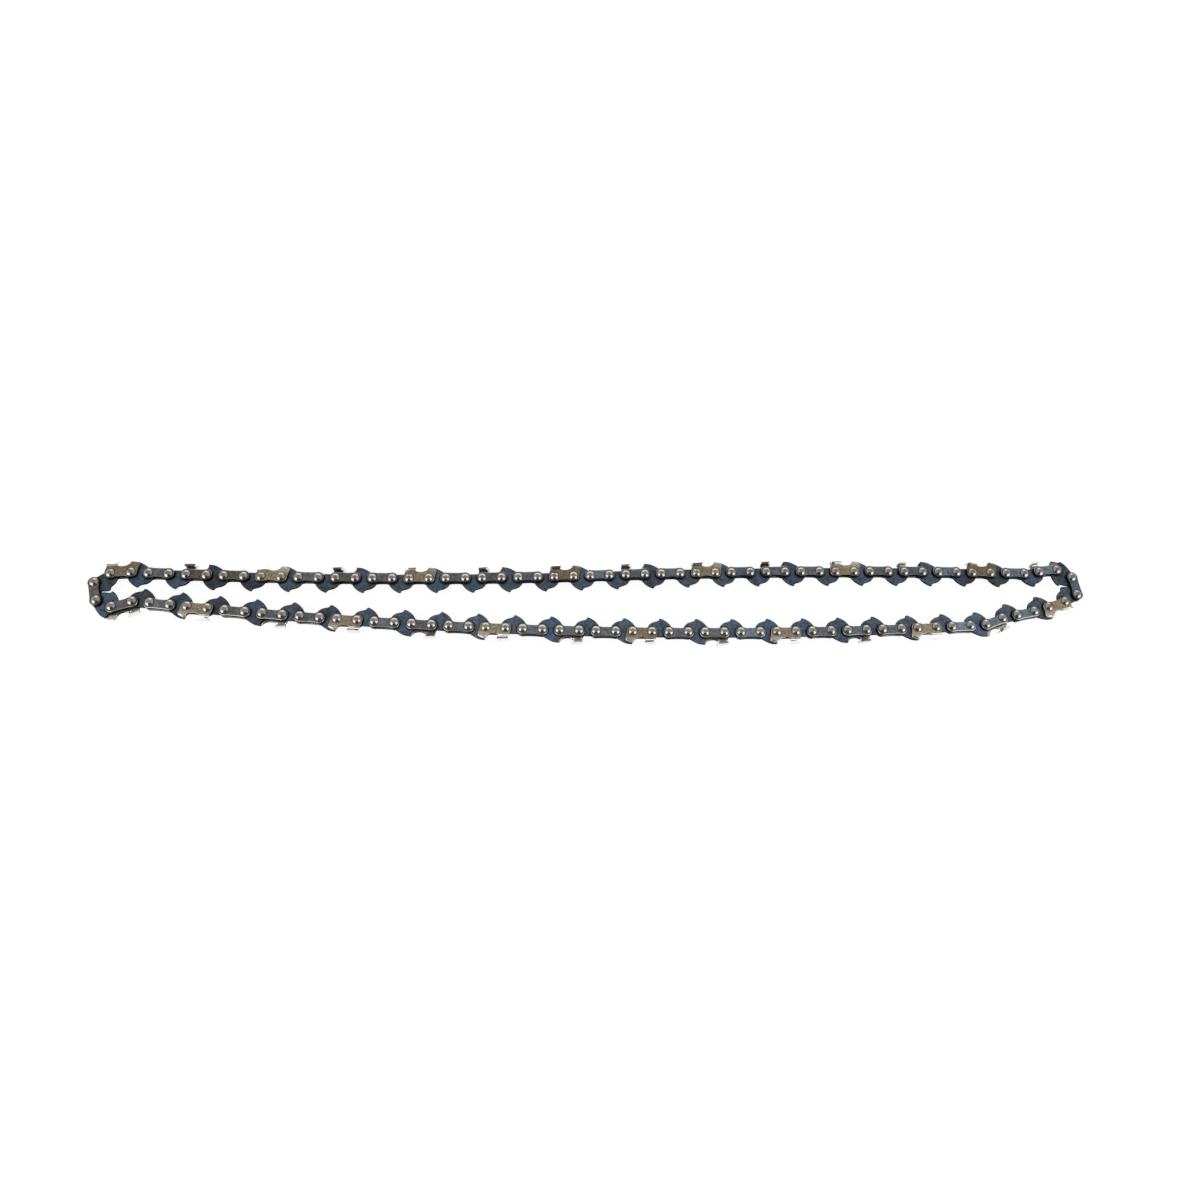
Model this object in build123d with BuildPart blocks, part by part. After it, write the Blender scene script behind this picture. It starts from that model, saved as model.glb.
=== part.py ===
"""Chainsaw chain loop lying on its side: drive links between pairs of riveted side plates.

Along the loop one pattern repeats: a right-hand cutter, a pair of tie straps, a left-hand cutter
and a pair of tie straps, with a drive link between each two of them. The drive link ahead of a
cutter carries a bumper fin. Every outer link, with its two rivets, is one riveted piece, and the
rivet pins pass through the holes of the drive links.

Link frame: origin midway between the two rivets, +X along the chain's travel, +Y out of the loop,
+Z up. A right-hand cutter has its side plate on +Z.
"""

from build123d import *
import math
import os

import numpy as np

# Chain pitch and count, in mm
SIDE_PITCH = 9.93  # rivet to rivet along a cutter or a tie strap
DRIVE_PITCH = 8.67  # rivet to rivet along a drive link
PATTERN_REPEATS = 14  # cutter, straps, cutter, straps: four drive links in each

# Thickness across the chain, in mm
GAUGE = 1.3  # drive link, as wide as the groove of its guide bar
PLATE = 1.4  # tie strap and cutter side plate
SIDE_PLAY = 0.05  # between a drive link and the plate on each side of it
KERF = 6.9  # over the outer corners of right and left cutters

# Rivets, in mm: a pin between the plates and a spun head on each plate
PIN_RADIUS = 1.5
PIN_PLAY = 0.06  # round the pin in the drive link's hole
PIN_SIDES = 5
HEAD_RADIUS = 2.1
HEAD_HEIGHT = 0.75
HEAD_SIDES = 6

# Tie strap outline, in mm
STRAP_END = 3.15  # past the rivet
STRAP_INNER = 2.3  # rivet line to the edge that runs on the guide bar
STRAP_OUTER = 3.2  # rivet line to the shoulders of the outer edge
STRAP_WAIST = 2.65  # rivet line to the middle of the outer edge
STRAP_CORNER = 1.8  # cut off each corner

# Drive link outline, in mm
LINK_END = 3.1  # past the rivet
LINK_OUTER = 2.5  # rivet line to the outer edge
LINK_CORNER = 1.6  # cut off the outer corners
TANG_DEPTH = 7.5  # rivet line to the tip of the tang
TANG_SHOULDER = 3.1  # rivet line to where the tang begins
TANG_BULGE = 1.05  # of the tang's trailing flank, outside a straight line
NOTCH_DEPTH = 5.3  # rivet line to the roof of the chip notch in the leading flank
NOTCH_STEP = 0.85  # fall of the notch's roof towards the tip
NOTCH_LENGTH = 3.0
TIP_WIDTH = 0.8  # from the tip of the tang to the notch

# Bumper fin on the drive link ahead of a cutter, in mm
FIN_HEIGHT = 6.4  # rivet line to the peak
FIN_LEAN = 0.2  # of the peak ahead of the trailing rivet
FIN_CREST = 4.0  # length of the crest
FIN_FALL = 0.35  # of the crest along that length
FIN_FOOT = 3.3  # rivet line to the foot of the ramp, over the leading rivet

# Cutter outline, in mm
GULLET_DEPTH = 3.5  # rivet line to the floor of the gullet
GULLET_LENGTH = 4.9
GAUGE_HEIGHT = 6.25  # rivet line to the peak of the depth gauge
GAUGE_RISE = 1.2  # length of the gauge's trailing slope
GAUGE_CREST = 4.1  # length of the gauge's sloping crest
GAUGE_FALL = 1.25  # of the crest along that length
NOSE_UNDERCUT = 1.4  # of the leading edge, from the crest down to the inner edge

# Tooth of the cutter, in mm and degrees
TOOTH_HEEL = 1.9  # behind the trailing rivet
TOOTH_LENGTH = 5.6  # heel to the leading corner of the cutting edge
TOOTH_HEIGHT = 6.4  # rivet line to the top plate's upper face at the cutting edge
TOP_PLATE = 1.0  # thickness of the top plate
TOP_REACH = 4.4  # from the outer corner across the chain
TOP_SIDE = 0.9  # height of the upright outer edge of the tooth
CUTTING_ANGLE = 28  # of the cutting edge, swept back from the outer corner

# How the loop lies, in degrees turned at each rivet, outwards positive, in the direction of travel
RIGHT_FOLD = (8, 0, -37, -55, -67, -10, -2, -4, 1, 7, -15, -2)
LEFT_FOLD = (2, 21, -40, -52, -70, -31, -7, 1)
LEAD_COUNT = 5  # rivets of the left fold before the first cutter's trailing rivet
FIRST_HEADING = 4.4  # of the first cutter, from the loop's long axis

INNER_FACE = GAUGE / 2 + SIDE_PLAY
OUTER_FACE = INNER_FACE + PLATE
PLATE_RIVET = SIDE_PITCH / 2
LINK_RIVET = DRIVE_PITCH / 2
RIVET_COUNT = 8 * PATTERN_REPEATS
STEP_ANGLE = 1e-4  # of the trial turns when the loop is closed


def turns_at_rivets(bows):
    """Turn at each rivet: the two folds as they lie, and the runs between them evenly bowed.

    The bows are the turns per rivet in the first and second half of the outgoing run and in the
    returning run.
    """
    spare = RIVET_COUNT - len(RIGHT_FOLD) - len(LEFT_FOLD)
    out_half = spare // 4 + 1
    back = spare - 2 * out_half
    turns = list(LEFT_FOLD[LEAD_COUNT:])
    turns += [bows[0]] * out_half + [bows[1]] * out_half
    turns += RIGHT_FOLD
    turns += [bows[2]] * back
    turns += LEFT_FOLD[:LEAD_COUNT]
    return turns


def walk(turns):
    """Each link's middle and heading, from the first rivet round the loop, and where it ends."""
    x, y, heading = 0.0, 0.0, FIRST_HEADING - turns[0]
    links = []
    for rivet, turn in enumerate(turns):
        heading += turn
        pitch = DRIVE_PITCH if rivet % 2 else SIDE_PITCH
        dx = pitch * math.cos(math.radians(heading))
        dy = pitch * math.sin(math.radians(heading))
        links.append((x + dx / 2, y + dy / 2, heading))
        x, y = x + dx, y + dy
    return links, np.array((x, y, sum(turns) + 360))


def closed_loop():
    """The links of a loop whose last rivet hole meets its first, with the runs bowed to suit."""
    bows = np.zeros(3)
    for _ in range(30):
        links, miss = walk(turns_at_rivets(bows))
        if np.abs(miss).max() < 1e-9:
            break
        trials = [walk(turns_at_rivets(bows + STEP_ANGLE * axis))[1] for axis in np.eye(3)]
        slope = np.array([(trial - miss) / STEP_ANGLE for trial in trials]).T
        bows = bows - np.linalg.solve(slope, miss)
    return links


# Outline of a tie strap, flat on the bar side and waisted outside
with BuildSketch() as strap_outline:
    with BuildLine():
        end = PLATE_RIVET + STRAP_END
        half = [
            (0, STRAP_WAIST),
            (end - STRAP_CORNER, STRAP_OUTER),
            (end, STRAP_OUTER - STRAP_CORNER),
            (end, STRAP_CORNER - STRAP_INNER),
            (end - STRAP_CORNER, -STRAP_INNER),
        ]
        Polyline(*half, *[(-x, y) for x, y in reversed(half[1:])], close=True)
    make_face()

# Spun rivet head: a low point of a few flat sides, standing on the outer face of its plate
with BuildPart() as rivet_head:
    with BuildSketch(Plane.XY.offset(OUTER_FACE)):
        RegularPolygon(HEAD_RADIUS, HEAD_SIDES)
    extrude(amount=HEAD_HEIGHT)
    head_run = HEAD_RADIUS * math.cos(math.pi / HEAD_SIDES)
    for side in range(HEAD_SIDES):
        facing = 2 * math.pi * (side + 0.5) / HEAD_SIDES
        slope_way = (
            HEAD_HEIGHT * math.cos(facing),
            HEAD_HEIGHT * math.sin(facing),
            head_run,
        )
        top = (0, 0, OUTER_FACE + HEAD_HEIGHT)
        split(bisect_by=Plane(origin=top, z_dir=slope_way), keep=Keep.BOTTOM)

# One side of a rivet: its head and half of the pin between the plates
with BuildPart() as rivet_half:
    add(rivet_head.part)
    with BuildSketch():
        RegularPolygon(PIN_RADIUS, PIN_SIDES)
    extrude(amount=INNER_FACE)

# Upper half of a tie strap pair
with BuildPart() as strap_half:
    with BuildSketch(Plane.XY.offset(INNER_FACE)):
        add(strap_outline.sketch)
    extrude(amount=PLATE)
    with Locations((-PLATE_RIVET, 0), (PLATE_RIVET, 0)):
        add(rivet_half.part)

# Pair of tie straps with their two rivets
with BuildPart() as tie_strap_pair:
    add(strap_half.part)
    mirror(about=Plane.XY)

# Tooth of a right-hand cutter: the side plate flares out, then bends over into the top plate
with BuildPart() as tooth:
    heel = -PLATE_RIVET - TOOTH_HEEL
    corner = heel + TOOTH_LENGTH
    with BuildSketch(Plane.YZ.offset(heel)):
        with BuildLine():
            Polyline(
                (GULLET_DEPTH, INNER_FACE),
                (GULLET_DEPTH, OUTER_FACE),
                (TOOTH_HEIGHT - TOP_SIDE, KERF / 2),
                (TOOTH_HEIGHT, KERF / 2),
                (TOOTH_HEIGHT, KERF / 2 - TOP_REACH),
                (TOOTH_HEIGHT - TOP_PLATE, KERF / 2 - TOP_REACH),
                (TOOTH_HEIGHT - TOP_PLATE, OUTER_FACE),
                close=True,
            )
        make_face()
    extrude(amount=TOOTH_LENGTH)
    sweep = math.radians(CUTTING_ANGLE)
    edge = Plane(
        origin=(corner, 0, KERF / 2),
        x_dir=(0, 1, 0),
        z_dir=(math.cos(sweep), 0, -math.sin(sweep)),
    )
    split(bisect_by=edge, keep=Keep.BOTTOM)

# Right-hand cutter: side plate with tooth, gullet and depth gauge, and the strap on its far side
with BuildPart() as right_cutter:
    with BuildSketch(Plane.XY.offset(INNER_FACE)):
        with BuildLine():
            back = -PLATE_RIVET - STRAP_END
            gauge_foot = corner + GULLET_LENGTH
            peak = gauge_foot + GAUGE_RISE
            nose = peak + GAUGE_CREST
            Polyline(
                (back + STRAP_CORNER, -STRAP_INNER),
                (back, STRAP_CORNER - STRAP_INNER),
                (back, GULLET_DEPTH - STRAP_CORNER),
                (heel, GULLET_DEPTH),
                (gauge_foot, GULLET_DEPTH),
                (peak, GAUGE_HEIGHT),
                (nose, GAUGE_HEIGHT - GAUGE_FALL),
                (nose - NOSE_UNDERCUT, -STRAP_INNER),
                close=True,
            )
        make_face()
    extrude(amount=PLATE)
    add(tooth.part)
    with Locations((-PLATE_RIVET, 0), (PLATE_RIVET, 0)):
        add(rivet_half.part)
    add(strap_half.part.mirror(Plane.XY))

with BuildPart() as left_cutter:
    add(right_cutter.part)
    mirror(about=Plane.XY, mode=Mode.REPLACE)

# Outline of a drive link below its outer edge, from the leading end round the tang
link_end = LINK_RIVET + LINK_END
flank = (-link_end + LINK_CORNER, -TANG_SHOULDER)
tip = (0, -TANG_DEPTH)
tang_edge = [
    (link_end, LINK_OUTER - LINK_CORNER),
    (link_end - LINK_CORNER / 2, -TANG_SHOULDER),
    (tip[0] + TIP_WIDTH + NOTCH_LENGTH, -NOTCH_DEPTH),
    (tip[0] + TIP_WIDTH, -NOTCH_DEPTH - NOTCH_STEP),
    tip,
    ((flank[0] + tip[0]) / 2, (flank[1] + tip[1]) / 2 - TANG_BULGE),
    flank,
    (-link_end, LINK_OUTER - LINK_CORNER),
]

with BuildSketch() as plain_outline:
    with BuildLine():
        shoulder = link_end - LINK_CORNER
        Polyline((-shoulder, LINK_OUTER), (shoulder, LINK_OUTER), *tang_edge, close=True)
    make_face()

with BuildSketch() as bumper_outline:
    with BuildLine():
        crest = -LINK_RIVET + FIN_LEAN
        Polyline(
            (-shoulder, LINK_OUTER),
            (crest, FIN_HEIGHT),
            (crest + FIN_CREST, FIN_HEIGHT - FIN_FALL),
            (LINK_RIVET, FIN_FOOT),
            *tang_edge,
            close=True,
        )
    make_face()

# Drive links: a flat stamping with a hole for the rivet pin at each end
with BuildPart() as plain_drive_link:
    with BuildSketch(Plane.XY.offset(-GAUGE / 2)):
        add(plain_outline.sketch)
        with Locations((-LINK_RIVET, 0), (LINK_RIVET, 0)):
            RegularPolygon(PIN_RADIUS + PIN_PLAY, PIN_SIDES, major_radius=False, mode=Mode.SUBTRACT)
    extrude(amount=GAUGE)

with BuildPart() as bumper_drive_link:
    with BuildSketch(Plane.XY.offset(-GAUGE / 2)):
        add(bumper_outline.sketch)
        with Locations((-LINK_RIVET, 0), (LINK_RIVET, 0)):
            RegularPolygon(PIN_RADIUS + PIN_PLAY, PIN_SIDES, major_radius=False, mode=Mode.SUBTRACT)
    extrude(amount=GAUGE)

# Links of one pattern in order of travel
PATTERN = (
    right_cutter,
    bumper_drive_link,
    tie_strap_pair,
    plain_drive_link,
    left_cutter,
    bumper_drive_link,
    tie_strap_pair,
    plain_drive_link,
)
chain = [(PATTERN[i % len(PATTERN)], *link) for i, link in enumerate(closed_loop())]

# The loop lies with its box centred on the origin and its lowest cutters on the ground
boxes = [
    kind.part.moved(Location((x, y, 0), (0, 0, heading))).bounding_box()
    for kind, x, y, heading in chain
]
middle_x = (min(b.min.X for b in boxes) + max(b.max.X for b in boxes)) / 2
middle_y = (min(b.min.Y for b in boxes) + max(b.max.Y for b in boxes)) / 2
ground = min(b.min.Z for b in boxes)


def places_of(kind):
    """Where each link of one kind lies."""
    return [
        Location((x - middle_x, y - middle_y, -ground), (0, 0, heading))
        for each, x, y, heading in chain
        if each is kind
    ]


os.makedirs("parts", exist_ok=True)

for kind, name in (
    (right_cutter, "right_cutter"),
    (left_cutter, "left_cutter"),
    (tie_strap_pair, "tie_strap_pair"),
):
    for number, place in enumerate(places_of(kind), 1):
        with BuildPart() as outer_link:
            with Locations(place):
                add(kind.part)
        outer_link.part.label = f"{name}_{number:02d}"
        export_step(outer_link.part, f"parts/{outer_link.part.label}.step")

for kind, name in (
    (plain_drive_link, "plain_drive_links"),
    (bumper_drive_link, "bumper_drive_links"),
):
    with BuildPart() as drive_links:
        with Locations(*places_of(kind)):
            add(kind.part)
    drive_links.part.label = name
    export_step(drive_links.part, f"parts/{name}.step")
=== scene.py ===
# %% [markdown]
# # A saw chain lying on its side
# A loop of saw chain is 280 small steel pieces of six kinds: plain and bumper drive links, tie
# straps, right-hand and left-hand cutters, and the rivets that hold them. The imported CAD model
# says where each link lies, as a plain solid. This lesson makes each kind of piece once, with
# rounded outlines and real finishes, and lays a copy of it in every place. Sizes on a link are in
# mm, those of the room round it in metres.

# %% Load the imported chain
import math

import bpy
import numpy as np
from mathutils import Matrix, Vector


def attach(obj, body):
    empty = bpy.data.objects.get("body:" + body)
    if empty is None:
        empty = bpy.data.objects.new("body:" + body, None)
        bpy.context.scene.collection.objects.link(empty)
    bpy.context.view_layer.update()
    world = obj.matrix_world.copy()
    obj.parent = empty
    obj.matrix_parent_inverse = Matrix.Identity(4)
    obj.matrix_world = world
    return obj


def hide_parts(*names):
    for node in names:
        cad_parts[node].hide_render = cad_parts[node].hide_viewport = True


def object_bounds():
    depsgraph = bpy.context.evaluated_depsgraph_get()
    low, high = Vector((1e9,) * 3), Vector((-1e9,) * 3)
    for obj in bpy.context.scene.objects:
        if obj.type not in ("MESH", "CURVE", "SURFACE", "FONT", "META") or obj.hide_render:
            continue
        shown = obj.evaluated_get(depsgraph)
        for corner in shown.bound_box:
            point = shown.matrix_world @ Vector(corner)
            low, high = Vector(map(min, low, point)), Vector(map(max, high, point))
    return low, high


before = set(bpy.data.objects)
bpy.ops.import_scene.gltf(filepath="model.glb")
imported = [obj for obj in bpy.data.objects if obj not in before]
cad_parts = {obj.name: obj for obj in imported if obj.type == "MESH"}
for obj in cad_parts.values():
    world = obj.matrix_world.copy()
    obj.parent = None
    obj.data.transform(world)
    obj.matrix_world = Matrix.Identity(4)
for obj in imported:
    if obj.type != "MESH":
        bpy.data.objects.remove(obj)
cad_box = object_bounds()
MM = 0.001
cad_size = [round(v / MM, 2) for v in cad_box[1] - cad_box[0]]
print("CAD nodes:", len(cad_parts), "size in mm:", cad_size)

# %% [markdown]
# ## Where each link lies
# Nothing in the CAD meshes says which way a link points, but each outer link carries two rivets,
# and the tips of its rivet heads are its highest or lowest points. A tooth stands higher than the
# heads on a cutter's own side, so the tips are read on the other side. One tip to the other gives
# a link's middle and heading, and the drive links lie between the rivets of neighbouring outer
# links. Reading the places like this, rather than writing them down, keeps the scene true to the
# CAD model.

# %% Read the rivet places of the outer links in order of travel
PATTERNS = 14
SAME_LEVEL = 0.01  # points of one tip differ less than this in height
SAME_HEAD = 1.0  # and lie closer together than this


def points_of(node):
    """All corner points of a CAD node, in mm."""
    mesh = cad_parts[node].data
    flat = np.empty(3 * len(mesh.vertices))
    mesh.vertices.foreach_get("co", flat)
    return flat.reshape(-1, 3) / MM


def head_tips(node):
    """The two rivet head tips: the points at the extreme level of the side that has no tooth."""
    points = points_of(node)
    level = points[:, 2].min() if node.startswith("right") else points[:, 2].max()
    tips = points[np.abs(points[:, 2] - level) < SAME_LEVEL, :2]
    first = np.linalg.norm(tips - tips[0], axis=1) < SAME_HEAD
    return tips[first].mean(0), tips[~first].mean(0)


OUTER_LINKS = [
    name
    for k in range(1, PATTERNS + 1)
    for name in (
        f"right_cutter_{k:02d}",
        f"tie_strap_pair_{2 * k - 1:02d}",
        f"left_cutter_{k:02d}",
        f"tie_strap_pair_{2 * k:02d}",
    )
]
RIGHT, LEFT, PAIRS = slice(0, None, 4), slice(2, None, 4), slice(1, None, 2)
rivets = np.array([head_tips(name) for name in OUTER_LINKS])
link_before = np.roll(rivets.mean(axis=1), 1, axis=0)
way_round = np.linalg.norm(rivets - link_before[:, None], axis=2)
turned_round = way_round[:, 0] > way_round[:, 1]
rivets[turned_round] = rivets[turned_round][:, ::-1]
print("outer links:", len(rivets))

# %% Places of all links: middle x, middle y and heading
def places(tail, head):
    """The middle of tail and head, and the angle of the line between them, for whole arrays."""
    run = head - tail
    return np.column_stack([(tail + head) / 2, np.arctan2(run[:, 1], run[:, 0])])


tails, heads = rivets[:, 0], rivets[:, 1]
next_tails = np.roll(tails, -1, axis=0)
outer_places = places(tails, heads)
drive_places = places(heads, next_tails)
drive_pitch = np.linalg.norm(next_tails - heads, axis=1)
RIVET_X = float(np.linalg.norm(heads - tails, axis=1).mean() / 2)
DRIVE_X = float(drive_pitch.mean() / 2)
MID_PLANE = (cad_box[0].z + cad_box[1].z) / 2 / MM
print(f"half pitches {RIVET_X:.3f} and {DRIVE_X:.3f} mm, spread {np.ptp(drive_pitch):.4f} mm")

# %% [markdown]
# ## Stamped plates
# Every flat piece of a chain is stamped from strip steel and then tumbled, which leaves a plain
# outline with softly broken edges. So a plate is an outline carried through a few levels. A corner
# of the outline is rounded with a short Bezier arc, which keeps the number of points low: each
# plate is repeated dozens of times, so it gets only as many faces as its outline needs. The upper
# rim is either a plain chamfer or a rounded one, whose last two rings lie in the face, so that the
# face shades flat. Such a shell is kept as its points, its faces, and a value from 0 to 1 for each
# point that says how much it belongs to a sheared edge.

# %% Helpers for outlines and plates
ARC_POINTS = 3
LONGEST_REACH = 0.48  # of the shorter side, so that the arcs of two corners never meet
BROKEN_EDGE = 0.15
GAUGE = 1.3  # thickness of a drive link
INNER_FACE, OUTER_FACE = 0.70, 2.10  # of straps and side plates, from the chain's mid-plane
# A rim's rows: how far the ring is drawn in, and how far it lies below the face, in rim sizes
CHAMFER = np.array([(0.0, 1.0), (1.0, 0.0)])
ROUND_RIM = np.array([(0.0, 1.0), (0.15, 0.5), (0.5, 0.15), (1.0, 0.0), (1.3, 0.0)])


def rounded(corners):
    """A closed outline from rows of x, y and reach: every corner becomes a quadratic Bezier arc.

    The arc starts the reach before the corner and ends the reach after it, with the corner itself
    as its middle control point. The reach is cut to a bit under half of the shorter side.
    """
    corners = np.asarray(corners, float)
    corner = corners[:, :2]
    back, ahead = np.roll(corner, 1, axis=0) - corner, np.roll(corner, -1, axis=0) - corner
    back_long, ahead_long = np.linalg.norm(back, axis=1), np.linalg.norm(ahead, axis=1)
    reach = np.minimum(corners[:, 2], LONGEST_REACH * np.minimum(back_long, ahead_long))
    start = corner + back * (reach / back_long)[:, None]
    end = corner + ahead * (reach / ahead_long)[:, None]
    t = np.linspace(0, 1, ARC_POINTS)[None, :, None]
    arc = (1 - t) ** 2 * start[:, None] + 2 * t * (1 - t) * corner[:, None] + t**2 * end[:, None]
    return arc.reshape(-1, 2)


def inward(outline):
    """The unit inward way at each point: its neighbours' joining line turned left."""
    run = np.roll(outline, -1, axis=0) - np.roll(outline, 1, axis=0)
    return np.column_stack([-run[:, 1], run[:, 0]]) / np.linalg.norm(run, axis=1)[:, None]


def bridged(rings, n):
    """The quads between neighbouring rings of n points each."""
    i, j = np.arange(n), np.roll(np.arange(n), -1)
    starts = np.arange(rings - 1)[:, None, None] * n
    return (starts + np.column_stack([i, j, j + n, i + n])).reshape(-1, 4)


def stacked(flat, level):
    """The points and faces of a stack of rings, bridged and closed with a face at both ends."""
    rings, n = level.shape
    points = np.dstack([flat, level]).reshape(-1, 3)
    top, base = (rings - 1) * n + np.arange(n), np.arange(n)[::-1]
    return points, bridged(rings, n).tolist() + [top.tolist(), base.tolist()]


def plate(outline, low, high, rim=CHAMFER, size=None, draw=None):
    """A stamped plate: rings of the outline from the lower face up, drawn in at both faces.

    The lower edge is a chamfer. A row (a, b) of the rim is a ring at outline + a * draw, b * size
    below the upper face. The sheared wall lies between the second ring and the third.
    """
    n = len(outline)
    size = np.full(n, BROKEN_EDGE) if size is None else size
    draw = inward(outline) * size[:, None] if draw is None else draw
    foot = outline + BROKEN_EDGE * inward(outline)
    flat = np.vstack([[foot, outline], outline + rim[:, :1, None] * draw])
    below = np.repeat([[low], [low + BROKEN_EDGE]], n, axis=1)
    level = np.vstack([below, high - rim[:, 1:] * size])
    sheared = np.zeros(level.shape)
    sheared[1:3] = 1.0
    return *stacked(flat, level), sheared.ravel()


def joined(*shells):
    """Several shells as one: their points in a row, with each shell's faces counted on."""
    starts = np.cumsum([0] + [len(points) for points, _, _ in shells])
    faces = [
        [corner + int(start) for corner in face]
        for start, (_, own_faces, _) in zip(starts, shells)
        for face in own_faces
    ]
    return np.vstack([s[0] for s in shells]), faces, np.concatenate([s[2] for s in shells])


def other_hand(shell):
    """The shell mirrored in the chain's mid-plane, with its faces turned outwards again."""
    points, faces, sheared = shell
    return points * [1, 1, -1], [face[::-1] for face in faces], sheared


# %% Helpers that lay copies of a shell along the chain
PLATE_CREASE, HEAD_CREASE = 35, 27  # degrees: an edge that turns more is sharp
# a random tone per link, plus painted light that makes every link on the front run paler
RANDOM_TONE, FRONT_RUN_PAINTED_LIGHT = 0.65, 0.35
rng = np.random.default_rng(14)


def link_mesh(name, shell, at):
    """A mesh with a copy of the shell at every place, turned to its heading and moved there."""
    points, faces, _ = shell
    cos, sin = np.cos(at[:, 2]), np.sin(at[:, 2])
    turn = np.stack([np.column_stack([cos, -sin]), np.column_stack([sin, cos])], axis=1)
    flat = np.einsum("kij,nj->kni", turn, points[:, :2]) + at[:, None, :2]
    level = np.broadcast_to(points[:, 2] + MID_PLANE, flat.shape[:2])
    laid = np.dstack([flat, level]).reshape(-1, 3) * MM
    sizes = np.tile([len(face) for face in faces], len(at))
    loops = (np.concatenate(faces) + len(points) * np.arange(len(at))[:, None]).ravel()
    mesh = bpy.data.meshes.new(name)
    mesh.vertices.add(len(laid))
    mesh.vertices.foreach_set("co", laid.ravel())
    mesh.loops.add(len(loops))
    mesh.loops.foreach_set("vertex_index", loops)
    mesh.polygons.add(len(sizes))
    mesh.polygons.foreach_set("loop_start", np.cumsum(sizes) - sizes)
    mesh.update(calc_edges=True)
    mesh.validate()
    return mesh


def store(mesh, name, kind, key, values):
    """Stores a value, or a vector of three, on every point of the mesh."""
    mesh.attributes.new(name, kind, "POINT").data.foreach_set(key, values)


def lay_links(name, shell, at, material, replaced, crease=PLATE_CREASE):
    """One object with a copy of the shell at every place, in the place of the replaced CAD nodes.

    Each point keeps its place on its own link, in mm, how much it is a sheared edge, and one tone
    for the whole link, so that a finish can follow the link and differ from link to link. The tone
    is random, and a little higher on the front run, which paints that run paler: painted light.
    """
    points, _, sheared = shell
    mesh = link_mesh(name, shell, at)
    tone = RANDOM_TONE * rng.random(len(at)) + FRONT_RUN_PAINTED_LIGHT * (at[:, 1] < 0)
    store(mesh, "link_place", "FLOAT_VECTOR", "vector", np.tile(points, (len(at), 1)).ravel())
    store(mesh, "link_tone", "FLOAT", "value", np.repeat(tone, len(points)))
    store(mesh, "sheared_edge", "FLOAT", "value", np.tile(sheared, len(at)))
    mesh.shade_smooth()
    mesh.set_sharp_from_angle(angle=math.radians(crease))
    mesh.materials.append(material)
    links = bpy.data.objects.new(name, mesh)
    bpy.context.scene.collection.objects.link(links)
    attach(links, "root")
    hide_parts(*replaced)
    mesh.calc_loop_triangles()
    print(f"{name}: {len(at)} copies, {len(mesh.loop_triangles)} triangles")


# %% [markdown]
# ## Finishes
# All of a chain is hardened carbon steel, and the colours come from what was done to it
# afterwards: heat bluing on the drive links, oil tempering on the straps, plating on the cutters,
# and spinning and polishing on the rivet heads. A material is built from nodes. A few short
# functions add the nodes and return what comes out of them, so that a finish reads as a list of
# what it is made of. Colours are written as on a screen and turned to the linear values that
# Blender works in.

# %% Helpers that add nodes
def colour(hex_code):
    """An sRGB hex value as linear red, green, blue and alpha."""
    value = np.array([int(hex_code[i : i + 2], 16) for i in (1, 3, 5)]) / 255
    linear = np.where(value <= 0.04045, value / 12.92, ((value + 0.055) / 1.055) ** 2.4)
    return (*linear, 1.0)


def new_material(name):
    """A material without any nodes, and its node tree."""
    material = bpy.data.materials.new(name)
    material.use_nodes = True
    material.node_tree.nodes.clear()
    return material, material.node_tree


def add(tree, kind, inputs=(), **settings):
    """Adds one node with its settings. A pair in inputs is a socket and its value or its source."""
    node = tree.nodes.new(kind)
    for name, value in settings.items():
        setattr(node, name, value)
    for socket, value in inputs:
        if isinstance(value, bpy.types.NodeSocket):
            tree.links.new(value, node.inputs[socket])
        else:
            node.inputs[socket].default_value = value
    return node


def calc(tree, operation, *values):
    """The result of one operation on numbers, written out or from other nodes."""
    return add(tree, "ShaderNodeMath", list(enumerate(values)), operation=operation).outputs[0]


def ramp(tree, value, start, end, low=0.0, high=1.0):
    """Goes from low to high while the value goes from start to end, and stays there beyond."""
    ends = [("From Min", start), ("From Max", end), ("To Min", low), ("To Max", high)]
    return add(tree, "ShaderNodeMapRange", [("Value", value), *ends]).outputs[0]


def blend(tree, share, plain, other, way="MIX"):
    """The plain colour, with this share of it replaced by the other one or multiplied by it."""
    inputs = [(0, share), (6, plain), (7, other)]
    return add(tree, "ShaderNodeMix", inputs, data_type="RGBA", blend_type=way).outputs[2]


def noise(tree, here, size_mm):
    """A random pattern, mostly between 0.3 and 0.7, with patches about this many mm across."""
    inputs = [("Vector", here), ("Scale", 1 / (size_mm * MM)), ("Detail", 3)]
    return add(tree, "ShaderNodeTexNoise", inputs).outputs["Fac"]


def axes(tree, vector):
    """The three parts of a vector: x, y and z."""
    return list(add(tree, "ShaderNodeSeparateXYZ", [(0, vector)]).outputs)


def distance(tree, x, y):
    """The length of (x, y)."""
    flat = add(tree, "ShaderNodeCombineXYZ", [(0, x), (1, y)]).outputs[0]
    return add(tree, "ShaderNodeVectorMath", [(0, flat)], operation="LENGTH").outputs["Value"]


# %% Helpers that the finishes share
NOISE_ENDS = 0.3, 0.7
FILM_ENDS = 0.4, 1.5  # drift plus tone where a film is thinnest and thickest
# darkening near the rivets: partly grime, partly painted shade where the pieces overlap
MOST_GRIME_AND_SHADE, GRIME_AND_SHADE = 0.8, colour("#1b1b1a")
ALL_BLACK = 0.9  # edge value from which a wall is all black
MIRROR, SHEEN = 0.9, 0.5  # how metallic bare steel is, and the shine of the rest of it
DENT_DEPTH = 0.05 * MM


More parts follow.
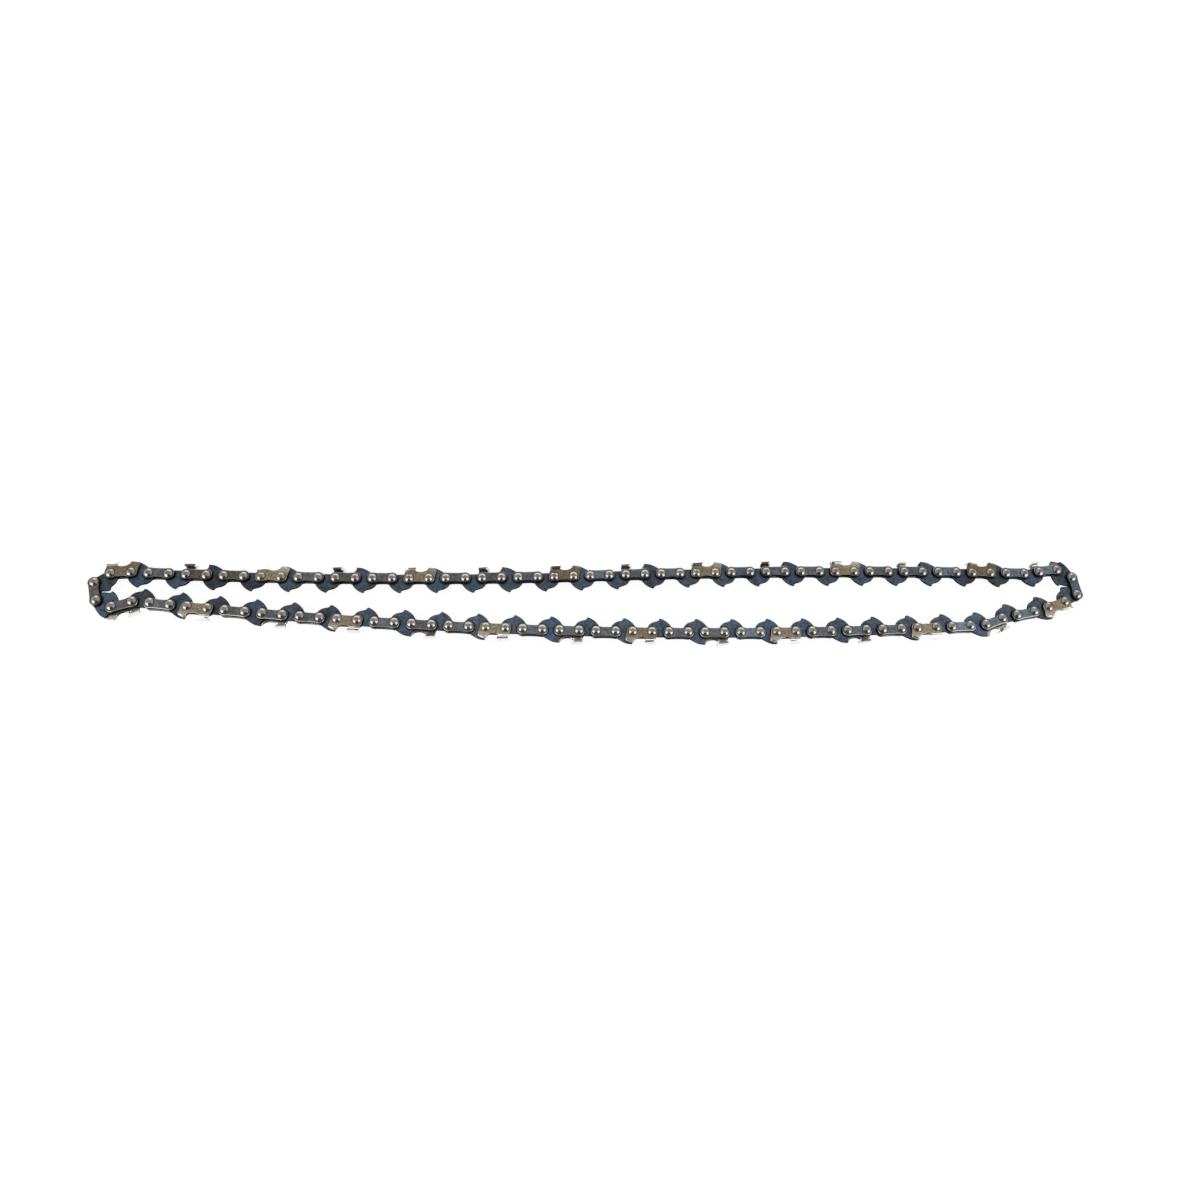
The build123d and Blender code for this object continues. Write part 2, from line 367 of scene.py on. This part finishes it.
def sources(tree):
    """What a finish reads at a point: its place on the link, tone, edge, and place in the scene."""
    place = add(tree, "ShaderNodeAttribute", attribute_name="link_place").outputs["Vector"]
    tone = add(tree, "ShaderNodeAttribute", attribute_name="link_tone").outputs["Fac"]
    edge = add(tree, "ShaderNodeAttribute", attribute_name="sheared_edge").outputs["Fac"]
    here = add(tree, "ShaderNodeTexCoord").outputs["Object"]
    return place, tone, edge, here


def another_tone(tree, tone):
    """A second random number for each link: nine times its tone, without the whole part."""
    return calc(tree, "FRACT", calc(tree, "MULTIPLY", tone, 9.0))


def grime_and_shade_round_rivets(tree, place, clean, half_pitch, clear, full):
    """The clean colour, darkened near the rivets, which lie half a pitch from the link's middle.

    The darkening, partly grime and partly painted shade where pieces overlap, starts at the
    clear distance from a rivet and is thickest within the full distance.
    """
    x, y, _ = axes(tree, place)
    past_rivet = calc(tree, "SUBTRACT", calc(tree, "ABSOLUTE", x), half_pitch)
    share = ramp(tree, distance(tree, past_rivet, y), clear, full, high=MOST_GRIME_AND_SHADE)
    return blend(tree, share, clean, GRIME_AND_SHADE)


def grained(tree, here, plain, size_mm, strength):
    """The plain colour times a noise from 1 - strength to 1 + strength, and the noise itself."""
    fine = noise(tree, here, size_mm)
    shade = ramp(tree, fine, *NOISE_ENDS, low=1 - strength, high=1 + strength)
    return blend(tree, 1.0, plain, shade, "MULTIPLY"), fine


def black_walls(tree, edge, plain, start, black):
    """The plain colour, turned black where the edge value is above the start, and the bare share.

    The bare share is 1 on clean steel and falls to 0 on the black walls.
    """
    bare = ramp(tree, edge, start, ALL_BLACK, low=1.0, high=0.0)
    return blend(tree, bare, colour(black), plain), bare


def close_finish(tree, base, bare, fine, smooth, rough, dent):
    """The steel itself: it mirrors where it is bare, and the fine noise roughens and dents it."""
    bump = [("Height", fine), ("Strength", dent), ("Distance", DENT_DEPTH)]
    inputs = [
        ("Base Color", base),
        ("Metallic", calc(tree, "MULTIPLY", bare, MIRROR)),
        ("Specular IOR Level", calc(tree, "MULTIPLY", bare, SHEEN)),
        ("Roughness", ramp(tree, fine, *NOISE_ENDS, low=smooth, high=rough)),
        ("Normal", add(tree, "ShaderNodeBump", bump).outputs[0]),
    ]
    surface = add(tree, "ShaderNodeBsdfPrincipled", inputs)
    add(tree, "ShaderNodeOutputMaterial", [("Surface", surface.outputs[0])])


# %% [markdown]
# ### Heat-blued stamped steel
# Drive links are stamped, hardened and left with the blue-black oxide of the heat. The oxide film
# is thin, so its colour wanders between slate, blue and a trace of violet over a few millimetres,
# differs from link to link, is painted paler on the front run as painted light, and darkens
# towards one end of the loop. The sheared walls are black with scale and oil. The seams round the
# straps' lobes are darkened, partly as oil and partly as painted shade where the straps overlap
# the link. Real tumbling grain is a few tenths of a millimetre wide; here it is drawn 1.2 mm wide,
# so that it shows at this distance.

# %% Finish of the drive links
blued_steel, tree = new_material("heat_blued_stamped_steel")
place, tone, edge, here = sources(tree)
x, _, _ = axes(tree, here)
drift = noise(tree, here, size_mm=5)
hot_end = ramp(tree, x, start=-0.25, end=-0.06, low=-0.45, high=0.0)
film = calc(tree, "ADD", hot_end, calc(tree, "ADD", drift, tone))
slate = blend(tree, ramp(tree, film, *FILM_ENDS), colour("#2f3437"), colour("#4e5a64"))
bluer = calc(tree, "ADD", another_tone(tree, tone), drift)
blue = blend(tree, ramp(tree, bluer, 0.75, 1.5, high=0.45), slate, colour("#3a5069"))
violet = blend(tree, ramp(tree, drift, 0.52, 0.7, high=0.5), blue, colour("#403f5c"))
# The drive link is darkened under and round the straps' lobes: oil and painted shade
seamed_and_shaded = grime_and_shade_round_rivets(tree, place, violet, DRIVE_X, clear=3.8, full=3.2)
speckled, fine = grained(tree, here, seamed_and_shaded, size_mm=1.2, strength=0.45)
edged, bare = black_walls(tree, edge, speckled, start=0.4, black="#0c0e10")
close_finish(tree, edged, bare, fine, smooth=0.3, rough=0.46, dent=0.25)
print("finish:", blued_steel.name, len(tree.nodes), "nodes")

# %% [markdown]
# ### Oil-tempered strap steel
# The tie straps keep the brown-grey skin that oil leaves when hot steel is quenched in it. It is
# duller than the drive links' blue, and its colour follows the heat: browner towards one end of
# the loop, cooler towards the other, with odd straps between. The outer rims are painted bright,
# partly as rubbed wear and partly as a painted highlight, which shows just below the face, and
# the sheared walls are black.

# %% Finish of the tie straps
RUBBED_AND_HIGHLIT, RUBBED_AND_HIGHLIT_DEPTH = 0.85, 0.1
TONE_HEAT = 0.3  # metres by which an odd strap may take its colour from farther along the loop
tempered_steel, tree = new_material("oil_tempered_strap_steel")
place, tone, edge, here = sources(tree)
x, _, _ = axes(tree, here)
_, out, up = axes(tree, place)
drift = noise(tree, here, size_mm=4)
depth = ramp(tree, calc(tree, "ADD", drift, tone), *FILM_ENDS)
heat = calc(tree, "MULTIPLY_ADD", another_tone(tree, tone), TONE_HEAT, x)
cooler = ramp(tree, heat, start=-0.1, end=0.35)
dark_skin = blend(tree, cooler, colour("#4b4640"), colour("#424c53"))
pale_skin = blend(tree, cooler, colour("#585859"), colour("#68747c"))
skin = blend(tree, depth, dark_skin, pale_skin)
# The strap is darkened round the rivet heads: grime and painted shade
grimy_and_shaded = grime_and_shade_round_rivets(tree, place, skin, RIVET_X, clear=2.75, full=2.15)
speckled, fine = grained(tree, here, grimy_and_shaded, size_mm=1.2, strength=0.4)
height = calc(tree, "ABSOLUTE", up)
# The outer rim is painted bright: partly rubbed wear, partly a painted highlight
rim = ramp(tree, height, OUTER_FACE, OUTER_FACE - RUBBED_AND_HIGHLIT_DEPTH, high=RUBBED_AND_HIGHLIT)
rubbed_and_highlit = calc(tree, "MULTIPLY", rim, ramp(tree, out, start=0.5, end=2.5))
bared_and_highlit = blend(tree, rubbed_and_highlit, speckled, colour("#a8a8a6"))
edged, bare = black_walls(tree, edge, bared_and_highlit, start=0.1, black="#0d0d0e")
smooth = ramp(tree, rubbed_and_highlit, 0.0, RUBBED_AND_HIGHLIT, low=0.3, high=0.1)
rough = ramp(tree, rubbed_and_highlit, 0.0, RUBBED_AND_HIGHLIT, low=0.46, high=0.16)
close_finish(tree, edged, bare, fine, smooth, rough, dent=0.25)
print("finish:", tempered_steel.name, len(tree.nodes), "nodes")

# %% [markdown]
# ### Plated cutter steel
# A cutter is plated with a hard, pale layer that takes the wear of the wood. It is thickest on the
# outside of the tooth and thinner on the depth gauge, which both look whitish, and the side plate
# below shows the warmer tan of the steel through it. The inside of the tooth is painted dark,
# partly as bare steel and partly as painted shade, and paler on links of a high tone and towards
# one end of the loop. The finish reads how far out on its link each point lies.

# %% Finish of the cutters
DRIFT_REACH, TONE_REACH = 0.8, 1.5  # mm that drift and tone add to how far out a point lies
plated_steel, tree = new_material("hard_plated_cutter_steel")
place, tone, edge, here = sources(tree)
x, _, _ = axes(tree, here)
ahead, out, _ = axes(tree, place)
drift = noise(tree, here, size_mm=3)
depth = ramp(tree, calc(tree, "ADD", drift, tone), *FILM_ENDS)
tan = blend(tree, depth, colour("#5e5244"), colour("#867e67"))
greyer = ramp(tree, another_tone(tree, tone), start=0.5, end=1.0, high=0.4)
skin = blend(tree, greyer, tan, colour("#7e7268"))
# The side plate is darkened round the rivet heads: grime and painted shade
grimy_and_shaded = grime_and_shade_round_rivets(tree, place, skin, RIVET_X, clear=2.75, full=2.15)
speckled, fine = grained(tree, here, grimy_and_shaded, size_mm=1.1, strength=0.4)

# The plating covers a point more the farther out it lies and the higher the link's tone is
uneven = calc(tree, "MULTIPLY_ADD", drift, DRIFT_REACH, out)
layer = calc(tree, "MULTIPLY_ADD", tone, TONE_REACH, uneven)
tooth = ramp(tree, layer, start=4.9, end=5.8)
kept = ramp(tree, tone, start=0.2, end=0.55, high=0.3)
gauge = calc(tree, "MULTIPLY", ramp(tree, uneven, start=2.4, end=5.4), kept)
on_gauge = ramp(tree, ahead, start=0.0, end=1.0)
cover = add(tree, "ShaderNodeMix", [(0, on_gauge), (2, tooth), (3, gauge)]).outputs[0]
plating = blend(tree, cover, speckled, colour("#e8e8e6"))

# A higher start paints the shaded inside paler: on links of a high tone, and towards one end
paler_with_tone = ramp(tree, tone, start=0.5, end=0.7, low=0.3, high=0.7)
paler_at_one_end = ramp(tree, x, start=0.09, end=0.16, high=0.84)
start = calc(tree, "MAXIMUM", paler_with_tone, paler_at_one_end)
edged, bare = black_walls(tree, edge, plating, start, black="#12110f")
smooth = ramp(tree, cover, 0.0, 1.0, low=0.24, high=0.06)
rough = ramp(tree, cover, 0.0, 1.0, low=0.4, high=0.12)
dent = ramp(tree, cover, 0.0, 1.0, low=0.15, high=0.0)
close_finish(tree, edged, bare, fine, smooth, rough, dent)
print("finish:", plated_steel.name, len(tree.nodes), "nodes")

# %% [markdown]
# ### Spun rivet steel
# A rivet's end is rolled over by a spinning tool, which polishes a bright cone and leaves a
# duller, tan dish in the middle. The foot of the head is painted black, partly as old oil and
# partly as painted shade where the head meets the plate. The finish reads how far a point is from
# the rivet's own axis.

# %% Finish of the rivets
spun_steel, tree = new_material("spun_rivet_steel")
place, tone, _, here = sources(tree)
fine = noise(tree, here, size_mm=0.3)
x, y, _ = axes(tree, place)
radius = distance(tree, x, y)
dish = ramp(tree, radius, start=1.07, end=0.97)
centre = blend(tree, tone, colour("#696152"), colour("#857b6a"))
ring = blend(tree, dish, colour("#8b8883"), centre)
# The black foot: partly old oil, partly painted shade where the head meets the plate
foot = ramp(tree, radius, start=2.06, end=2.16)
edged, bare = black_walls(tree, foot, ring, start=0.0, black="#151413")
close_finish(tree, edged, bare, fine, smooth=0.07, rough=0.15, dent=0.05)
print("finish:", spun_steel.name, len(tree.nodes), "nodes")

# %% [markdown]
# ## Drive links
# A drive link is the middle layer of the chain. Its tang hangs into the guide bar's groove and is
# driven by the sprocket; the hook in its leading flank carries oil. Ahead of each cutter the drive
# link has a bumper fin, which lets the cutter down gently. Both are plates, so they are outlines.

# %% Outlines of the two drive links: corners with x, y and reach
TANG = [
    (-5.9, -3.0, 1.2), (-4.6, -4.9, 1.2), (-2.7, -6.4, 1.0), (-1.0, -7.3, 0.6), (0.15, -7.5, 0.35),
    (0.55, -6.5, 0.3), (1.4, -6.0, 0.5), (3.7, -5.4, 0.8), (5.2, -4.5, 0.9), (6.5, -2.7, 1.0),
    (7.0, -1.0, 1.2),
]
PLAIN_TOP = [
    (7.4, 0.9, 1.0), (6.1, 2.5, 1.2), (-6.1, 2.5, 1.2), (-7.4, 0.9, 1.0), (-7.0, -1.0, 1.2),
]
FIN_TOP = [
    (7.4, 0.9, 1.0), (6.3, 2.3, 0.8), (4.2, 3.0, 1.0), (1.7, 4.65, 1.0), (-1.1, 6.05, 0.9),
    (-4.15, 6.4, 0.3), (-4.2, 4.3, 0.6), (-6.2, 2.5, 0.8), (-7.4, 0.9, 1.0), (-7.0, -1.0, 1.2),
]
plain_link = plate(rounded(TANG + PLAIN_TOP), -GAUGE / 2, GAUGE / 2)
bumper_link = plate(rounded(TANG + FIN_TOP), -GAUGE / 2, GAUGE / 2)

# %% Lay the drive links
lay_links(
    "plain_drive_link_stampings", plain_link, drive_places[1::2], blued_steel,
    ["plain_drive_links"],
)
lay_links(
    "bumper_drive_link_stampings", bumper_link, drive_places[::2], blued_steel,
    ["bumper_drive_links"],
)

# %% [markdown]
# ## Tie straps
# A tie strap is two round lobes about the rivets with a waist between them. The lobes are arcs and
# the waist is a few points. One strap lies on each side of the chain, and a cutter has one on its
# far side. The outer edge is rounded more than the inner one, which has to sit squarely on the
# guide bar.

# %% Outline of a tie strap
LOBE, LOBE_RISE = 2.9, 0.3
LOBE_HALF_ARC, LOBE_POINTS = 110, 11
WAIST_X, OUTER_WAIST, INNER_WAIST = 1.9, 2.9, -1.95
RIM_Y, RIM_SIZE = (-1.5, 2.5), (0.2, 0.38)  # the rim grows between these two y


def strap_outline():
    """Two arcs of 220 degrees near the rivets, with two waist points between them on each edge.

    The arcs' middles lie a little outside the rivet line, because the inner edge is the lower one.
    """
    angle = np.radians(np.linspace(-LOBE_HALF_ARC, LOBE_HALF_ARC, LOBE_POINTS))
    ahead = np.column_stack([RIVET_X + LOBE * np.cos(angle), LOBE_RISE + LOBE * np.sin(angle)])
    behind = (ahead * [-1, 1])[::-1]
    outer_waist = np.array([(WAIST_X, OUTER_WAIST), (-WAIST_X, OUTER_WAIST)])
    inner_waist = np.array([(-WAIST_X, INNER_WAIST), (WAIST_X, INNER_WAIST)])
    return np.vstack([ahead, outer_waist, behind, inner_waist])


outline = strap_outline()
rim_size = np.interp(outline[:, 1], RIM_Y, RIM_SIZE)
upper_strap = plate(outline, INNER_FACE, OUTER_FACE, ROUND_RIM, rim_size)
lower_strap = other_hand(upper_strap)
print("strap points:", len(upper_strap[0]))

# %% Lay the straps
lay_links(
    "tie_strap_pairs", joined(upper_strap, lower_strap), outer_places[PAIRS], tempered_steel,
    OUTER_LINKS[PAIRS],
)
lay_links(
    "tie_straps_under_cutters", lower_strap, outer_places[RIGHT], tempered_steel,
    OUTER_LINKS[RIGHT],
)
lay_links(
    "tie_straps_over_cutters", upper_strap, outer_places[LEFT], tempered_steel,
    OUTER_LINKS[LEFT],
)

# %% [markdown]
# ## Cutters
# A cutter is a side plate with a tooth at its back and a depth gauge at its front, with a round
# gullet between them that a file fits. The tooth is the plate itself, flared out and folded over
# across the chain, so it is a bent sheet: an outer and an inner profile carried from the heel to
# the cutting edge. The front is swept back, hollowed where the file runs, and ground to an edge on
# the inner side.

# %% Side plate of a cutter: corners with x, y, reach and the size of the rounded rim
SIDE_PLATE = np.array([
    (-6.6, -2.5, 0.7, 0.2), (-3.4, -2.45, 0.8, 0.2), (-2.2, -1.95, 0.8, 0.2),
    (2.2, -1.95, 0.8, 0.2), (3.4, -2.45, 0.8, 0.2), (6.6, -2.5, 0.7, 0.2),
    (7.9, -1.2, 0.7, 0.25), (8.2, 1.4, 1.2, 0.4), (9.0, 3.9, 0.8, 0.8), (8.8, 4.9, 0.7, 1.0),
    (6.8, 5.75, 0.8, 1.0), (4.95, 6.25, 0.5, 0.9), (4.3, 5.0, 0.5, 0.5), (3.3, 3.9, 0.8, 0.25),
    (1.6, 3.45, 0.8, 0.25), (-0.4, 3.4, 0.6, 0.2), (-1.8, 4.1, 0.2, 0.15), (-6.8, 4.1, 0.3, 0.15),
    (-7.7, 1.7, 0.8, 0.2), (-7.9, -1.2, 0.7, 0.2),
])
GAUGE_MIDDLE = np.array([6.9, 4.2])
WIDE_RIM = 0.45
outline = rounded(SIDE_PLATE[:, :3])
rim_size = np.repeat(SIDE_PLATE[:, 3], ARC_POINTS)
# On the depth gauge the rim is so wide that it is drawn to the gauge's middle, so no points cross
to_middle = GAUGE_MIDDLE - outline
to_middle /= np.linalg.norm(to_middle, axis=1)[:, None]
rim_way = np.where(rim_size[:, None] > WIDE_RIM, to_middle, inward(outline)) * rim_size[:, None]
side_plate = plate(outline, INNER_FACE, OUTER_FACE, ROUND_RIM, rim_size, rim_way)

# %% Tooth of a cutter: its front, its heel, its profiles (y, z) and its rings
CORNER_X, HALF_KERF = -RIVET_X + 3.95, 3.45
SWEEP = math.tan(math.radians(21))
FILE_RADIUS, FILE_Y, FILE_LEAD = 2.0, 4.7, 0.8
FILE_REACH = -1.2, 1.7  # the hollow follows the file's circle this far down and up
GROUND = 0.9  # the inner skin stops this short of the outer one
HEEL_X, HEEL_LOWER, HEEL_NARROWER = -RIVET_X - 1.9, 0.35, 0.2
RELIEF_FROM, RELIEF_OVER = 4.0, 2.4  # the heel's relief grows from this y, over this height
# The inside of the tooth is marked dark: partly its bare steel, partly painted shade
UNPLATED_AND_SHADED = 0.85  # edge value of the inside
OUTSIDE = np.array([
    (3.5, 2.05), (3.95, 2.13), (4.3, 2.45), (4.65, 2.95), (5.0, 3.3), (5.3, 3.45), (5.5, 3.43),
    (6.3, 2.78), (6.42, 2.5), (6.42, 2.0), (6.38, 0.5), (6.3, -0.8), (6.29, -0.95),
])
INSIDE = np.array([
    (3.5, 0.75), (3.95, 0.72), (4.45, 1.15), (4.8, 1.7), (5.0, 2.05), (5.15, 2.25), (5.27, 2.3),
    (5.37, 2.25), (5.42, 2.05), (5.4, 1.5), (5.35, 0.4), (5.26, -0.8), (5.25, -0.95),
])
# A ring's share of the way from the heel to the front, mm added to that, and share drawn in
TOOTH_RINGS = np.array([(0, 0, 0.2), (0, 0.2, 0), (0.4, 0, 0), (0.985, 0, 0), (1, 0, 0)])


def tooth_sheet():
    """A bent sheet: profiles (y, z) carried along x from the heel to the swept front.

    The front of the outer skin is the file's circle, swept back across the chain:
    x = corner + 0.8 R - root(R^2 - (y - file)^2) - (half kerf - z) tan 21.
    The inner skin stops short of it. The heel is lower and narrower, so the cutting edge alone
    touches the wood. The front is ground bright.
    """
    n = len(OUTSIDE)
    m = 2 * n
    section = np.vstack([OUTSIDE, INSIDE[::-1]])
    middle = (OUTSIDE + INSIDE) / 2
    middle = np.vstack([middle, middle[::-1]])
    hollow = np.sqrt(FILE_RADIUS**2 - np.clip(section[:, 0] - FILE_Y, *FILE_REACH) ** 2)
    swept = (HALF_KERF - section[:, 1]) * SWEEP
    front = CORNER_X + FILE_LEAD * FILE_RADIUS - hollow - swept
    front[n:] = front[:n][::-1] - GROUND
    share, added, drawn_in = TOOTH_RINGS.T[:, :, None]
    x = HEEL_X + added + share * (front - HEEL_X)
    yz = section + drawn_in[:, :, None] * (middle - section)
    relief = np.clip((yz[..., 0] - RELIEF_FROM) / RELIEF_OVER, 0, 1) * (1 - share)
    y, z = yz[..., 0] - HEEL_LOWER * relief, yz[..., 1] - HEEL_NARROWER * relief
    points = np.dstack([x, y, z]).reshape(-1, 3)
    # The section runs the other way round than a plate's outline, so its quads are turned over
    skin = bridged(len(TOOTH_RINGS), m)[:, [0, 3, 2, 1]]
    a = np.arange(n - 1)
    back_end = np.column_stack([a, a + 1, m - 2 - a, m - 1 - a])
    front_end = (len(TOOTH_RINGS) - 1) * m + back_end[:, [0, 3, 2, 1]]
    # The inside skin takes the dark of bare steel and of painted shade
    unplated_and_shaded = np.zeros(x.shape)
    unplated_and_shaded[:-1, n - 1 :] = UNPLATED_AND_SHADED
    return points, np.vstack([skin, back_end, front_end]).tolist(), unplated_and_shaded.ravel()


right_cutter = joined(side_plate, tooth_sheet())
left_cutter = other_hand(right_cutter)
print("cutter points:", len(right_cutter[0]))

# %% Lay the cutters
lay_links(
    "right_hand_cutters", right_cutter, outer_places[RIGHT], plated_steel,
    OUTER_LINKS[RIGHT],
)
lay_links(
    "left_hand_cutters", left_cutter, outer_places[LEFT], plated_steel,
    OUTER_LINKS[LEFT],
)

# %% [markdown]
# ## Rivets
# Each rivet shows only its two spun heads, 224 in all, so a head has just a few dozen faces. It is
# a profile turned about the rivet's axis: a steep flank, a bright cone and a shallow dish.

# %% Rivet heads: the profile's radius and height above the outer face
HEAD_PROFILE = np.array([(2.3, -0.05), (2.12, 0.235), (1.05, 0.82), (0.8, 0.77)])
HEAD_SIDES = 16


def rivet_head():
    """The profile turned about Z in equal steps, closed with one face on the dish and the base."""
    angle = 2 * np.pi * np.arange(HEAD_SIDES) / HEAD_SIDES
    ring = np.column_stack([np.cos(angle), np.sin(angle)])
    flat = HEAD_PROFILE[:, None, :1] * ring
    level = np.repeat(HEAD_PROFILE[:, 1:] + OUTER_FACE, HEAD_SIDES, axis=1)
    return *stacked(flat, level), np.zeros(level.size)


head = rivet_head()
rivet_places = np.column_stack([rivets.reshape(-1, 2), np.repeat(outer_places[:, 2], 2)])
lay_links("upper_rivet_heads", head, rivet_places, spun_steel, OUTER_LINKS, crease=HEAD_CREASE)
lay_links(
    "lower_rivet_heads", other_hand(head), rivet_places, spun_steel, OUTER_LINKS, crease=HEAD_CREASE
)

# %% [markdown]
# ## Floor, light and camera
# The chain lies on a white table in soft daylight. The table shows almost white to the camera and
# in the steel, and keeps a faint shadow. Three broad lamps give the polished rims and the rivets
# their highlights, at a plain level, so that the finishes look as they were written.

# %% Helpers for the room
scene = bpy.context.scene
scene.view_settings.view_transform = "Standard"


def sheet(name, corners, material):
    """An object that is one flat face with four corners."""
    mesh = bpy.data.meshes.new(name)
    mesh.from_pydata(corners, [], [(0, 1, 2, 3)])
    mesh.materials.append(material)
    flat_object = bpy.data.objects.new(name, mesh)
    scene.collection.objects.link(flat_object)
    return flat_object


def standing(place, right, up, back):
    """The matrix of a lamp or camera at a place, from the ways to its right, up and to its back."""
    turn = np.column_stack([right, up, back])
    return Matrix.Translation(place) @ Matrix(turn.tolist()).to_4x4()


# %% White floor
REACH = 3.0
TABLE_CORNERS = [(-REACH, -REACH, 0), (REACH, -REACH, 0), (REACH, REACH, 0), (-REACH, REACH, 0)]
TABLE_GLOW = 0.93  # share of plain white that the camera and the steel see; the rest takes shadows
table_white, tree = new_material("matt_white_table")
matt = add(tree, "ShaderNodeBsdfDiffuse", [("Color", colour("#f4f4f4"))])
bright = add(tree, "ShaderNodeEmission", [("Color", (1, 1, 1, 1)), ("Strength", 1.0)])
rays = add(tree, "ShaderNodeLightPath").outputs
seen = calc(tree, "MAXIMUM", rays["Is Camera Ray"], rays["Is Glossy Ray"])
seen = calc(tree, "MAXIMUM", seen, rays["Is Transmission Ray"])
share = calc(tree, "MULTIPLY", seen, TABLE_GLOW)
mixed = add(tree, "ShaderNodeMixShader", [(0, share), (1, matt.outputs[0]), (2, bright.outputs[0])])
add(tree, "ShaderNodeOutputMaterial", [("Surface", mixed.outputs[0])])
floor = sheet("white_table", TABLE_CORNERS, table_white)

# %% World
world = bpy.data.worlds.new("white_room")
world.use_nodes = True
scene.world = world
tree = world.node_tree
tree.nodes.clear()
glow = add(tree, "ShaderNodeBackground", [("Color", (1, 1, 1, 1)), ("Strength", 1.0)])
add(tree, "ShaderNodeOutputWorld", [("Surface", glow.outputs[0])])
print("world:", world.name)

# %% Lamps
def soft_lamp(name, place, wide, high, glow):
    """A lamp that faces the chain's middle and looks glow times as bright as white.

    A flat lamp of this brightness gives glow * pi * area watts.
    """
    lamp = bpy.data.lights.new(name, "AREA")
    lamp.shape, lamp.size, lamp.size_y = "RECTANGLE", wide, high
    lamp.energy = glow * math.pi * wide * high
    holder = bpy.data.objects.new(name, lamp)
    back = np.array(place) / np.linalg.norm(place)
    right = np.cross((0, 0, 1), back)
    right /= np.linalg.norm(right)
    holder.matrix_world = standing(place, right, np.cross(back, right), back)
    holder.visible_camera = False
    scene.collection.objects.link(holder)


soft_lamp("left_window", place=(-0.85, -0.62, 0.75), wide=1.5, high=1.2, glow=3.0)
soft_lamp("right_window", place=(0.9, -0.6, 0.78), wide=1.4, high=1.2, glow=3.0)
soft_lamp("back_window", place=(0.0, 1.3, 0.32), wide=2.2, high=0.6, glow=1.6)

# %% Dark card in front: narrow at its foot, wide at its top, a dark spot in the rims and the rivets
CARD_CORNERS = [(-0.04, -0.8, 0.02), (0.2, -0.8, 0.02), (1.8, -0.4, 2.2), (-1.7, -0.4, 2.2)]
card_black, tree = new_material("matt_black_card")
felt = add(tree, "ShaderNodeBsdfDiffuse", [("Color", colour("#1a1a1a"))])
add(tree, "ShaderNodeOutputMaterial", [("Surface", felt.outputs[0])])
card = sheet("dark_card", CARD_CORNERS, card_black)
card.visible_camera = False

# %% Camera
AZIMUTH, ELEVATION, ROLL = np.radians([9.095, 67.912, 9.130])
CAMERA_PLACE = np.array([-28.85, -178.26, 445.48]) * MM
SENSOR_WIDTH, FOCAL_LENGTH = 36, 27.716
NEAREST, FARTHEST = 0.01, 20
level_ahead = np.array([math.sin(AZIMUTH), math.cos(AZIMUTH), 0])
level_right = np.array([math.cos(AZIMUTH), -math.sin(AZIMUTH), 0])
forward = math.cos(ELEVATION) * level_ahead - [0, 0, math.sin(ELEVATION)]
level_up = np.cross(level_right, forward)
image_right = math.cos(ROLL) * level_right + math.sin(ROLL) * level_up
image_up = math.cos(ROLL) * level_up - math.sin(ROLL) * level_right
lens = bpy.data.cameras.new("camera")
lens.sensor_width, lens.lens = SENSOR_WIDTH, FOCAL_LENGTH
lens.clip_start, lens.clip_end = NEAREST, FARTHEST
camera = bpy.data.objects.new("camera", lens)
camera.matrix_world = standing(CAMERA_PLACE, image_right, image_up, -forward)
scene.collection.objects.link(camera)
scene.camera = camera
print("camera at", CAMERA_PLACE.round(4).tolist())
